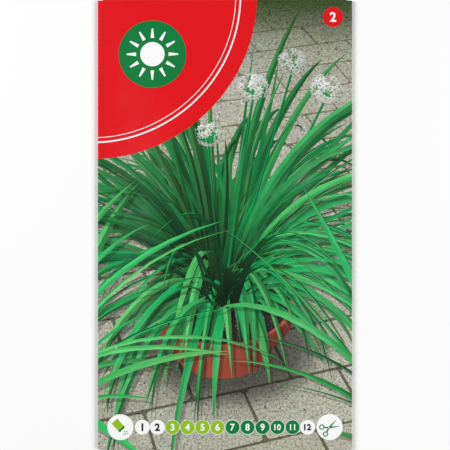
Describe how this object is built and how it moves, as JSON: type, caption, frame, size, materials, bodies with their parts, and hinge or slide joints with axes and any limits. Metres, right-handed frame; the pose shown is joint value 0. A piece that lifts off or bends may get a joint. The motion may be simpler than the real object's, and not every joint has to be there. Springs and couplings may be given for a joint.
{
  "type": "seed packet",
  "caption": "Flat folded paper seed packet with a printed front, slightly swollen over a sealed inner sachet of seeds, closed by end flaps folded over its back.",
  "frame": {"origin": "on the surface that the packet lies on, under the middle of the packet", "axes": "+X across the packet to the right of its front, +Y towards its top edge, +Z out of its printed front"},
  "size_m": [0.09, 0.16, 0.004],
  "materials": {
    "printed_paper": "coated paper with a full-colour print, white inside and at the cut edges",
    "sachet_film": "plain white laminated paper film, satin",
    "seed_husk": "matt black wrinkled seed coat"
  },
  "bodies": {
    "root": {"envelope": "printed_paper", "sachet_back_film": "sachet_film", "sachet_front_film": "sachet_film", "seeds": "seed_husk"}
  },
  "joints": []
}
